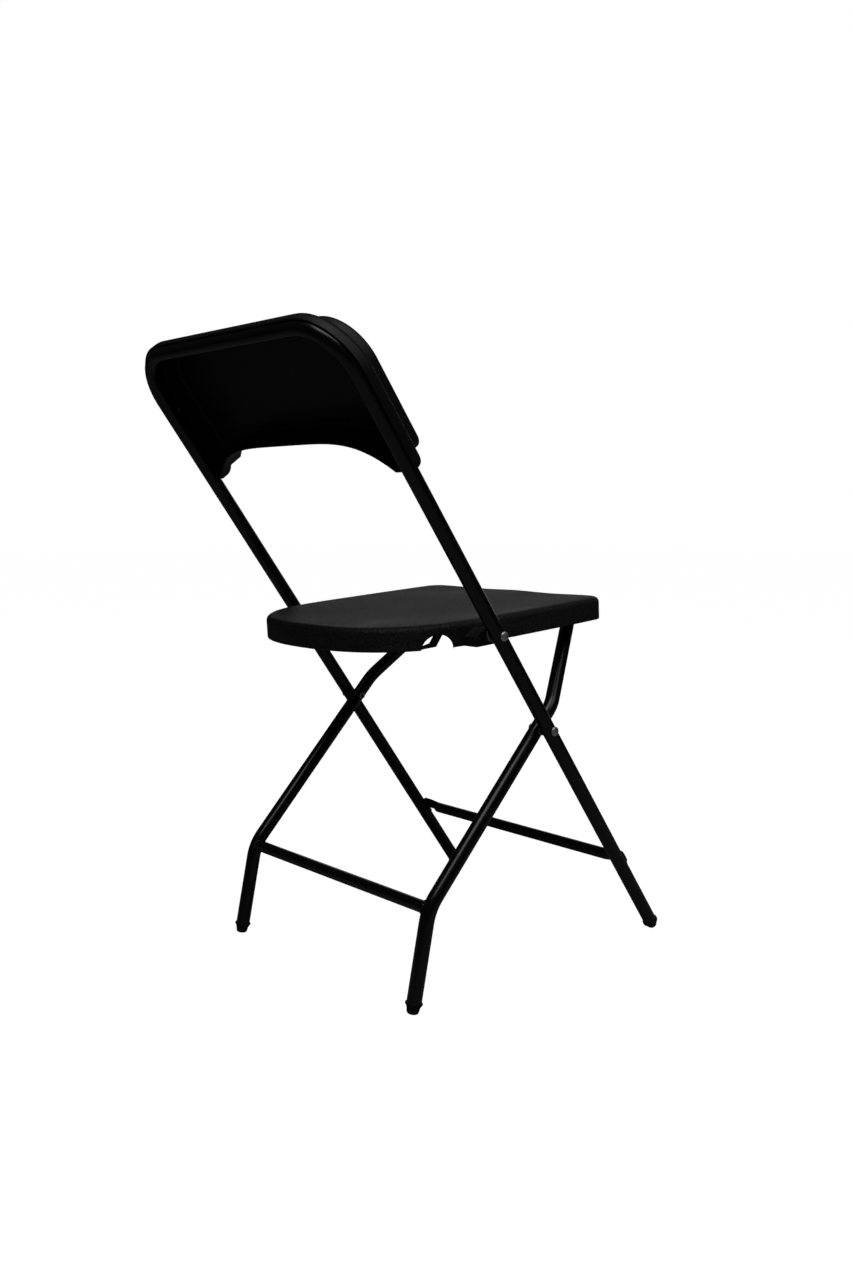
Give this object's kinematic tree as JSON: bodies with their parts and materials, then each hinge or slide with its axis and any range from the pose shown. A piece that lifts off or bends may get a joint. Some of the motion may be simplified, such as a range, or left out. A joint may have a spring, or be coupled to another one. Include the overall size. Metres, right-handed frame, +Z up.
{
  "type": "folding chair",
  "caption": "Folding chair: a bent steel tube frame with a moulded plastic backrest and seat, and crossed rear legs that fold flat between the uprights.",
  "frame": {"origin": "on the floor, under the middle of the chair's bounding box", "axes": "+Z up; the chair faces -Y; +X is the left of a person who sits in it"},
  "size_m": [0.4288, 0.59, 0.8057],
  "materials": {
    "powder_coat": "satin black powder coat",
    "seat_plastic": "fine pebble grain, black",
    "back_plastic": "fine grain, black",
    "zinc": "bright zinc plate",
    "nylon": "smooth nylon, dark",
    "foot_rubber": "matte black"
  },
  "bodies": {
    "frame": {"front_frame": "powder_coat", "front_stretcher": "powder_coat", "backrest_shell": "back_plastic", "front_foot_right": "foot_rubber", "backrest_rivet_right": "zinc", "seat_pivot_rivet_right": "zinc", "seat_pivot_washer_right": "zinc", "leg_pivot_rivet_right": "zinc", "leg_pivot_washer_right": "zinc", "front_foot_left": "foot_rubber", "backrest_rivet_left": "zinc", "seat_pivot_rivet_left": "zinc", "seat_pivot_washer_left": "zinc", "leg_pivot_rivet_left": "zinc", "leg_pivot_washer_left": "zinc"},
    "seat": {"seat_pan": "seat_plastic", "seat_pivot_bush_right": "zinc", "guide_track_right": "zinc", "track_screw_front_right": "zinc", "track_screw_rear_right": "zinc", "seat_pivot_bush_left": "zinc", "guide_track_left": "zinc", "track_screw_front_left": "zinc", "track_screw_rear_left": "zinc"},
    "rear_legs": {"rear_stretcher": "powder_coat", "slide_bar": "zinc", "rear_leg_right": "powder_coat", "rear_foot_right": "foot_rubber", "slide_roller_right": "nylon", "rear_leg_left": "powder_coat", "rear_foot_left": "foot_rubber", "slide_roller_left": "nylon"}
  },
  "joints": [
    {"name": "leg_fold", "type": "hinge", "parent": "frame", "child": "rear_legs", "pos_m": [0, -0.0598, 0.31665], "axis": [-1, 0, 0], "range_deg": [0, 78.5]},
    {"name": "seat_fold", "type": "hinge", "parent": "frame", "child": "seat", "pos_m": [0, 0.03411, 0.44458], "axis": [-1, 0, 0], "range_deg": [0, 120.5]}
  ],
  "couplings": [
    {"joint": "seat_fold", "follows": "leg_fold", "ratio": 1.5344}
  ]
}
